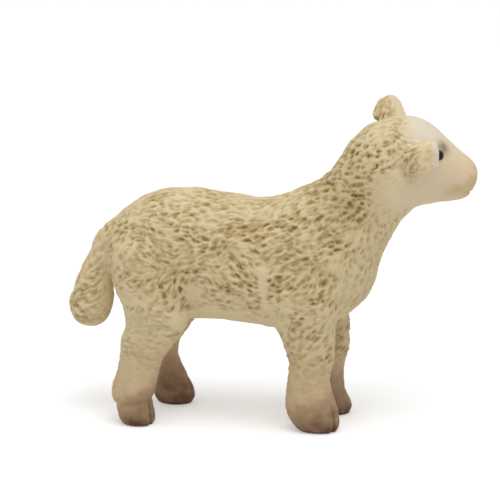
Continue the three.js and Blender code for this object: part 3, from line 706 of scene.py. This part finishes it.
def masks(points, normals, weights):
    x, _, z = (points / mm).T
    ahead, left, up = inHead(points).T
    head, nearEar, ears = shareOf("head"), shareOf("right_ear"), shareOf("left_ear", "right_ear")
    zone = headZones(points)
    blush = sum(soft(ahead, up, row) for row in blushes) * head + soft(ahead, up, earBlush) * nearEar
    blush *= 1 + blushWave * np.clip(zone["wander"], -1, 1)
    stainAndRootShade = np.max([soft(x, z, row) for row in stains], axis=0)
    stainAndRootShade *= (1 - head * smoothStep(ahead, *borders["stainEnd"])) * (1 - ears)
    # painted shade at the near ear's root, carried in the same mask as the stains
    stainAndRootShade += soft(ahead, up, earRootPaintedShade) * shareOf("head", "right_ear") * zone["nearSide"]
    browHeight = smoothStep(up - borders["browLean"] * ahead, *borders["palestBrow"])
    onRump = smoothStep(-x, *narrower["rumpStart"])
    return {
        "cover": pitDepth(points, normals, weights, zone),
        "long": np.array([p[4] for p in wool["places"]]) @ weights * (1 - ears) + wool["earDraw"] * ears,
        "bare": zone["pale"],
        # the near ear's tip also takes the whitest paint, a painted highlight
        "brow": zone["pale"] * browHeight + zone["tip"] * nearEar,
        # painted highlight over the near ear, all but its tip
        "light": earPaintedHighlight * (1 - zone["tip"]) * nearEar,
        "tint": np.clip(blush, 0, 1),
        "shade": spot((ahead, up, np.abs(left)), eyeShade["place"], eyeShade["reach"]) * head,
        "stainAndRootShade": stainAndRootShade,
        "wide": 1 - narrower["head"] * np.clip(head + ears, 0, 1) - narrower["rump"] * onRump,
    }


weights = placeWeights(points)
fields = masks(points, normals, weights)
lay = layField(points, normals, weights)
print("wool laid out")


def meshOf(name, points, corners, starts):
    mesh = bpy.data.meshes.new(name)
    mesh.vertices.add(len(points))
    mesh.vertices.foreach_set("co", points.ravel())
    mesh.loops.add(len(corners))
    mesh.loops.foreach_set("vertex_index", corners)
    mesh.polygons.add(len(starts))
    mesh.polygons.foreach_set("loop_start", starts)
    mesh.update(calc_edges=True)
    return mesh


def addMask(mesh, key, values):
    mask = mesh.attributes.new(key, "FLOAT", "POINT")
    mask.data.foreach_set("value", values.astype(np.float32))


# fleece: small pits between rounded ridges, drawn out along the lay of the wool
pits = {
    "Spacing": 1.0 * mm,  # between pits of one layer
    "Density": 4.0e6,  # tries to a square metre
    "Reach": 0.315 * mm,  # half a pit's width
    "Draw": 1.5,  # how much longer than wide
    "Low": 0.15,
    "High": 1.2,
    "Grain": 2600.0,  # noise cells to a metre, which make the rims uneven
    "Ragged": 0.55,
    "Wander": 0.5 * mm,
    "Strands": 2800.0,  # fine strokes to a metre, between the pits
    "Strand Length": 0.15 * mm,
    "Strand Share": 0.7,
    "Depth": 0.4 * mm,
}
pitLayers = [(0.6, 1.1), (0.5, 1.0), (0.35, 0.9), (0.25, 0.8), (0.15, 0.6)]  # shallowest and deepest pit
driftCells = 900.0  # noise cells to a metre, which bend the pits
strand = {
    "taps": 3,  # steps of the noise each way along a strand
    "rim": 0.52,
    "bottom": 0.38,
}


def buildPitTree():
    tree = bpy.data.node_groups.new("fleecePits", "GeometryNodeTree")
    tree.interface.new_socket("Skin", in_out="INPUT", socket_type="NodeSocketGeometry")
    for name in pits:
        tree.interface.new_socket(name, in_out="INPUT", socket_type="NodeSocketFloat")
    tree.interface.new_socket("Paint", in_out="INPUT", socket_type="NodeSocketMaterial")
    tree.interface.new_socket("Fleece", in_out="OUTPUT", socket_type="NodeSocketGeometry")
    entry = tree.nodes.new("NodeGroupInput").outputs

    def put(kind, **settings):
        node = tree.nodes.new(kind)
        for key, value in settings.items():
            setattr(node, key, value)
        return node

    def feed(socket, value):
        if isinstance(value, bpy.types.NodeSocket):
            tree.links.new(value, socket)
        else:
            socket.default_value = value

    def maths(operation, a, b=0.0):
        node = put("ShaderNodeMath", operation=operation)
        feed(node.inputs[0], a)
        feed(node.inputs[1], b)
        return node.outputs[0]

    def joined(operation, a, b, output="Vector"):
        node = put("ShaderNodeVectorMath", operation=operation)
        feed(node.inputs[0], a)
        feed(node.inputs[1], b)
        return node.outputs[output]

    def scaled(vector, factor):
        node = put("ShaderNodeVectorMath", operation="SCALE")
        feed(node.inputs[0], vector)
        feed(node.inputs["Scale"], factor)
        return node.outputs["Vector"]

    def noise(where, scale, output="Fac"):
        node = put("ShaderNodeTexNoise")
        feed(node.inputs["Vector"], where)
        feed(node.inputs["Scale"], scale)
        node.inputs["Detail"].default_value = 0.0
        return node.outputs[output]

    def stepped(value, low, high):
        node = put("ShaderNodeMapRange", interpolation_type="SMOOTHSTEP")
        feed(node.inputs["Value"], value)
        feed(node.inputs["From Min"], low)
        feed(node.inputs["From Max"], high)
        return node.outputs[0]

    def named(name, kind="FLOAT"):
        node = put("GeometryNodeInputNamedAttribute", data_type=kind)
        node.inputs["Name"].default_value = name
        return node.outputs["Attribute"]

    place = put("GeometryNodeInputPosition").outputs[0]
    surface = put("GeometryNodeInputNormal").outputs[0]
    drift = joined("SUBTRACT", noise(place, driftCells, "Color"), (0.5, 0.5, 0.5))
    here = joined("ADD", place, scaled(drift, entry["Wander"]))
    grain = maths("MULTIPLY", maths("SUBTRACT", noise(place, entry["Grain"]), 0.5), entry["Ragged"])

    def pitLayer(seed, shallow, deep):
        # every skin point looks at its nearest pit, an ellipse along the lay
        scatter = put("GeometryNodeDistributePointsOnFaces", distribute_method="POISSON")
        feed(scatter.inputs["Mesh"], entry["Skin"])
        feed(scatter.inputs["Distance Min"], entry["Spacing"])
        feed(scatter.inputs["Density Max"], entry["Density"])
        feed(scatter.inputs["Seed"], seed)
        nearest = put("GeometryNodeSampleNearest")
        feed(nearest.inputs["Geometry"], scatter.outputs["Points"])

        def ofPit(value, kind):
            node = put("GeometryNodeSampleIndex", data_type=kind)
            feed(node.inputs["Geometry"], scatter.outputs["Points"])
            feed(node.inputs["Value"], value)
            feed(node.inputs["Index"], nearest.outputs["Index"])
            return node.outputs["Value"]

        chance = put("FunctionNodeRandomValue", data_type="FLOAT")
        feed(chance.inputs[2], shallow)
        feed(chance.inputs[3], deep)
        feed(chance.inputs["Seed"], seed)
        centre = ofPit(put("GeometryNodeInputPosition").outputs[0], "FLOAT_VECTOR")
        offset = joined("SUBTRACT", here, centre)
        along = joined("DOT_PRODUCT", offset, ofPit(named("lay", "FLOAT_VECTOR"), "FLOAT_VECTOR"), "Value")
        whole = joined("DOT_PRODUCT", offset, offset, "Value")
        across = maths("SUBTRACT", whole, maths("MULTIPLY", along, along))
        drawn = maths("ADD", maths("MULTIPLY", ofPit(named("long"), "FLOAT"), entry["Draw"]), 1.0)
        short = maths("DIVIDE", along, drawn)
        reach = maths("MULTIPLY", ofPit(named("wide"), "FLOAT"), entry["Reach"])
        gap = maths("SQRT", maths("ADD", across, maths("MULTIPLY", short, short)))
        gap = maths("ADD", maths("DIVIDE", gap, reach), grain)
        hollow = maths("SUBTRACT", 1.0, stepped(gap, entry["Low"], entry["High"]))
        return maths("MULTIPLY", hollow, ofPit(chance.outputs[1], "FLOAT"))

    pressed = 0.0
    for seed, (shallow, deep) in enumerate(pitLayers):
        pressed = maths("MAXIMUM", pressed, pitLayer(seed, shallow, deep))
    # between the pits, noise that is blurred along the lay makes fine strokes
    lay = named("lay", "FLOAT_VECTOR")
    total = noise(place, entry["Strands"])
    for tap in range(1, strand["taps"] + 1):
        for way in (tap, -tap):
            step = scaled(lay, maths("MULTIPLY", entry["Strand Length"], way))
            total = maths("ADD", total, noise(joined("ADD", place, step), entry["Strands"]))
    stroke = maths("DIVIDE", total, 2 * strand["taps"] + 1)  # the mean of all taps
    groove = maths("MULTIPLY", stepped(stroke, strand["rim"], strand["bottom"]), entry["Strand Share"])
    groove = maths("MULTIPLY", groove, named("long"))
    deep = maths("MULTIPLY", maths("MAXIMUM", pressed, groove), named("cover"))
    store = put("GeometryNodeStoreNamedAttribute", data_type="FLOAT", domain="POINT")
    feed(store.inputs["Geometry"], entry["Skin"])
    store.inputs["Name"].default_value = "wash"
    feed(store.inputs["Value"], deep)
    move = put("GeometryNodeSetPosition")
    feed(move.inputs["Geometry"], store.outputs[0])
    sink = maths("MULTIPLY", maths("MULTIPLY", named("wash"), entry["Depth"]), -1.0)
    feed(move.inputs["Offset"], scaled(surface, sink))
    real = put("GeometryNodeRealizeInstances")
    feed(real.inputs["Geometry"], move.outputs[0])
    paint = put("GeometryNodeSetMaterial")
    feed(paint.inputs["Geometry"], real.outputs[0])
    feed(paint.inputs["Material"], entry["Paint"])
    feed(put("NodeGroupOutput").inputs["Fleece"], paint.outputs[0])
    return tree


def pressedFleece(mesh, paint):
    work = bpy.data.objects.new("fleece", mesh)
    bpy.context.scene.collection.objects.link(work)
    tree = buildPitTree()
    modifier = work.modifiers.new("fleece", "NODES")
    modifier.node_group = tree
    sockets = {s.name: s.identifier for s in tree.interface.items_tree if s.in_out == "INPUT"}
    for name, value in pits.items():
        modifier[sockets[name]] = value
    modifier[sockets["Paint"]] = paint
    graph = bpy.context.evaluated_depsgraph_get()
    result = bpy.data.meshes.new_from_object(work.evaluated_get(graph))
    work.modifiers.clear()
    bpy.data.objects.remove(work)
    return result


# hand-painted soft plastic: cream, an ochre wash in the pits, brown feet and a pale face
plastic = {
    "cream": [(0.70, 0.57, 0.325), (0.77, 0.64, 0.395)],
    "cheek": [(0.73, 0.585, 0.385), (0.76, 0.62, 0.42)],
    "brow": [(0.72, 0.64, 0.49), (0.76, 0.68, 0.54)],
    # the colour of the painted highlight on the near ear
    "earPaintedHighlight": (0.86, 0.70, 0.43),
    "tan": (0.47, 0.315, 0.18),
    "brown": (0.11, 0.047, 0.018),
    # the colour of the painted shade in the hoof's cleft
    "cleft": (0.06, 0.035, 0.02),
    "noiseRange": (0.3, 0.7),
    "streakRange": (0.75, 1.25),
    "tanRange": (0.0, 0.45),  # of the hoof mask
    "brownRange": (0.35, 1.35),
    "cleftStrength": 0.25,
    "roughness": (0.55, 0.7),
    "specular": 0.35,
    "bumpStrength": 0.25,
    "bumpDistance": 0.05 * mm,
}
thinCoats = [  # mask, where it begins, where it is full, how strong it gets, colour
    # the stain colour also paints the shade at the near ear's root
    ("stainAndRootShade", 0.0, 1.0, 0.6, (0.40, 0.31, 0.15)),
    ("tint", 0.0, 1.0, 0.85, (0.62, 0.46, 0.23)),
    ("shade", 0.0, 1.0, 0.8, (0.17, 0.125, 0.07)),
    ("wash", 0.05, 0.85, 0.95, (0.33, 0.21, 0.05)),
    # along the mouth groove: ochre paint, partly painted shade in the groove
    ("mouthTintAndShade", 0.2, 1.0, 0.35, (0.35, 0.22, 0.10)),
]
grains = {"cream": 180, "face": 260, "streaks": 700, "gloss": 1500, "bump": 2600}  # noise cells to a metre


def buildPaint(name):
    material = bpy.data.materials.new(name)
    material.use_nodes = True
    tree = material.node_tree
    shader = tree.nodes["Principled BSDF"]

    def attribute(key):
        node = tree.nodes.new("ShaderNodeAttribute")
        node.attribute_name = key
        return node.outputs["Fac"]

    def noise(scale, detail=2.0):
        node = tree.nodes.new("ShaderNodeTexNoise")
        node.inputs["Scale"].default_value = scale
        node.inputs["Detail"].default_value = detail
        tree.links.new(coordinates.outputs["Object"], node.inputs["Vector"])
        return node.outputs["Fac"]

    def ranged(value, low, high, outLow=0.0, outHigh=1.0):
        node = tree.nodes.new("ShaderNodeMapRange")
        tree.links.new(value, node.inputs["Value"])
        node.inputs["From Min"].default_value = low
        node.inputs["From Max"].default_value = high
        node.inputs["To Min"].default_value = outLow
        node.inputs["To Max"].default_value = outHigh
        return node.outputs["Result"]

    def mixed(factor, a, b):
        node = tree.nodes.new("ShaderNodeMix")
        node.data_type = "RGBA"
        tree.links.new(factor, node.inputs["Factor"])
        for socket, value in ((node.inputs["A"], a), (node.inputs["B"], b)):
            if isinstance(value, bpy.types.NodeSocket):
                tree.links.new(value, socket)
            else:
                socket.default_value = (*value, 1)
        return node.outputs["Result"]

    coordinates = tree.nodes.new("ShaderNodeTexCoord")
    cream = mixed(noise(grains["cream"]), *plastic["cream"])
    cheek = mixed(noise(grains["face"]), *plastic["cheek"])
    brow = mixed(noise(grains["face"]), *plastic["brow"])
    coat = mixed(attribute("bare"), cream, mixed(attribute("brow"), cheek, brow))
    # painted highlight on the near ear
    coat = mixed(attribute("light"), coat, plastic["earPaintedHighlight"])
    for key, low, high, strength, color in thinCoats:
        coat = mixed(ranged(attribute(key), low, high, 0.0, strength), coat, color)
    # the brown has gone on in uneven streaks
    streaks = tree.nodes.new("ShaderNodeMath")
    streaks.operation = "MULTIPLY"
    tree.links.new(attribute("hoof"), streaks.inputs[0])
    uneven = ranged(noise(grains["streaks"], 4.0), *plastic["noiseRange"], *plastic["streakRange"])
    tree.links.new(uneven, streaks.inputs[1])
    tan = mixed(ranged(streaks.outputs[0], *plastic["tanRange"]), coat, plastic["tan"])
    brown = mixed(ranged(streaks.outputs[0], *plastic["brownRange"]), tan, plastic["brown"])
    # painted shade in the cleft between the toes
    inCleft = ranged(attribute("cleft"), 0.0, 1.0, 0.0, plastic["cleftStrength"])
    brown = mixed(inCleft, brown, plastic["cleft"])
    tree.links.new(brown, shader.inputs["Base Color"])
    gloss = ranged(noise(grains["gloss"]), *plastic["noiseRange"], *plastic["roughness"])
    tree.links.new(gloss, shader.inputs["Roughness"])
    shader.inputs["Specular IOR Level"].default_value = plastic["specular"]
    bump = tree.nodes.new("ShaderNodeBump")
    bump.inputs["Strength"].default_value = plastic["bumpStrength"]
    bump.inputs["Distance"].default_value = plastic["bumpDistance"]
    tree.links.new(noise(grains["bump"], 3.0), bump.inputs["Height"])
    tree.links.new(bump.outputs["Normal"], shader.inputs["Normal"])
    return material


paintNames = {"fleece_paint": "fleecePaint", "face_paint": "facePaint", "hoof_paint": "hoofPaint"}
paints = {slot: buildPaint(name) for slot, name in paintNames.items()}
slotOf = {entry["node"]: entry["material_slot"] for entry in frame["record"]["subparts"]}

skinMesh = meshOf("skin", points, quads.ravel(), np.arange(len(quads)) * 4)
floats = {**fields, "hoof": brown, "cleft": cleft, "mouthTintAndShade": mouthLine}
for key, values in floats.items():
    addMask(skinMesh, key, values)
layOfSkin = skinMesh.attributes.new("lay", "FLOAT_VECTOR", "POINT")
layOfSkin.data.foreach_set("vector", lay.astype(np.float32).ravel())
fleeceMesh = pressedFleece(skinMesh, paints["fleece_paint"])
smooth = points
points, quads = arraysOf(fleeceMesh)
normals = vertexNormals(points, quads)
floats["wash"] = np.empty(len(points), np.float32)
fleeceMesh.attributes["wash"].data.foreach_get("value", floats["wash"])
paintMasks = {key: values for key, values in floats.items() if key not in ("cover", "long", "wide")}
print("fleece pressed", np.linalg.norm(points - smooth, axis=1).max() / mm, "mm deep")


def ringsOf(rim):
    # open edges joined end to end
    follow = {}
    for a, b in rim.tolist():
        follow.setdefault(a, []).append(b)
    rings = []
    while follow:
        start = next(iter(follow))
        ring, here = [], start
        while not ring or here != start:
            ring.append(here)
            after = follow[here].pop()
            if not follow[here]:
                del follow[here]
            here = after
        rings.append(ring)
    return rings


def pieceMesh(name, mine):
    # the faces of one moulding, closed over the joints that it hides
    used = np.unique(quads[mine])
    index = np.full(len(points), -1)
    index[used] = np.arange(len(used))
    faces = index[quads[mine]]
    pairs = sidesOf(faces)
    keys = pairs[:, 0] * len(used) + pairs[:, 1]
    backKeys = pairs[:, 1] * len(used) + pairs[:, 0]
    places, caps = [points[used]], []
    count = len(used)
    for ring in ringsOf(pairs[~np.isin(keys, backKeys)]):
        # the wall goes straight in from the rim before the cap, so that no cap shows in a pit
        facing = normals[used[ring]]
        inner = points[used[ring]] - facing * skin["capInset"]
        tip = inner.mean(axis=0) - facing.mean(axis=0) * skin["capInset"]
        places += [inner, tip[None]]
        size = len(ring)
        for i in range(size):
            here, after = ring[i], ring[(i + 1) % size]
            deep, deepAfter = count + i, count + (i + 1) % size
            caps += [(after, here, deep), (after, deep, deepAfter), (deepAfter, deep, count + size)]
        count += size + 1
    caps = np.array(caps, np.int64).reshape(-1, 3)
    corners = np.concatenate([faces.ravel(), caps.ravel()])
    starts = np.concatenate([np.arange(len(faces)) * 4, faces.size + np.arange(len(caps)) * 3])
    mesh = meshOf(name, np.concatenate(places), corners, starts)
    mesh.polygons.foreach_set("use_smooth", np.ones(len(starts), bool))
    extra = count - len(used)
    for key, values in paintMasks.items():
        addMask(mesh, key, np.concatenate([values[used], np.zeros(extra)]))
    turned = np.concatenate([normals[used], np.tile((0.0, 0.0, 1.0), (extra, 1))])
    mesh.normals_split_custom_set_from_vertices(turned.tolist())
    return mesh


def addPieces():
    owner = shares[quads].sum(axis=1).argmax(axis=1)
    for number, name in enumerate(bodyNodes):
        mesh = pieceMesh(name + "_form", owner == number)
        slot = slotOf[name]
        mesh.materials.append(paints[slot])
        piece = bpy.data.objects.new(name + "_form", mesh)
        bpy.context.scene.collection.objects.link(piece)
        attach(piece, "root")
        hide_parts(name)
        print("piece", name, len(mesh.polygons))


addPieces()

# eyes: glossy beads
bead = {
    "radius": face["eyeRadius"] * mm,
    "subdivisions": 4,
    "grain": 900,
    "dark": (0.004, 0.002, 0.001, 1),
    "light": (0.016, 0.009, 0.004, 1),
    "roughness": 0.12,
    "specular": 0.2,
}


def eyePaint():
    material = bpy.data.materials.new("eyeGloss")
    material.use_nodes = True
    tree = material.node_tree
    shader = tree.nodes["Principled BSDF"]
    coordinates = tree.nodes.new("ShaderNodeTexCoord")
    noise = tree.nodes.new("ShaderNodeTexNoise")
    noise.inputs["Scale"].default_value = bead["grain"]
    ramp = tree.nodes.new("ShaderNodeValToRGB")
    ramp.color_ramp.elements[0].color = bead["dark"]
    ramp.color_ramp.elements[1].color = bead["light"]
    tree.links.new(coordinates.outputs["Object"], noise.inputs["Vector"])
    tree.links.new(noise.outputs["Fac"], ramp.inputs["Fac"])
    tree.links.new(ramp.outputs["Color"], shader.inputs["Base Color"])
    shader.inputs["Roughness"].default_value = bead["roughness"]
    shader.inputs["Specular IOR Level"].default_value = bead["specular"]
    return material


def addEyes():
    paint = eyePaint()
    for side, centre in (("left", leftEye), ("right", rightEye)):
        work = bmesh.new()
        bmesh.ops.create_icosphere(work, subdivisions=bead["subdivisions"], radius=bead["radius"])
        mesh = bpy.data.meshes.new(side + "_eye_bead")
        work.to_mesh(mesh)
        work.free()
        mesh.transform(Matrix.Translation(centre))
        mesh.polygons.foreach_set("use_smooth", np.ones(len(mesh.polygons), bool))
        mesh.materials.append(paint)
        eye = bpy.data.objects.new(side + "_eye_bead", mesh)
        bpy.context.scene.collection.objects.link(eye)
        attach(eye, "root")
        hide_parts(side + "_eye")


addEyes()
print("eyes set")
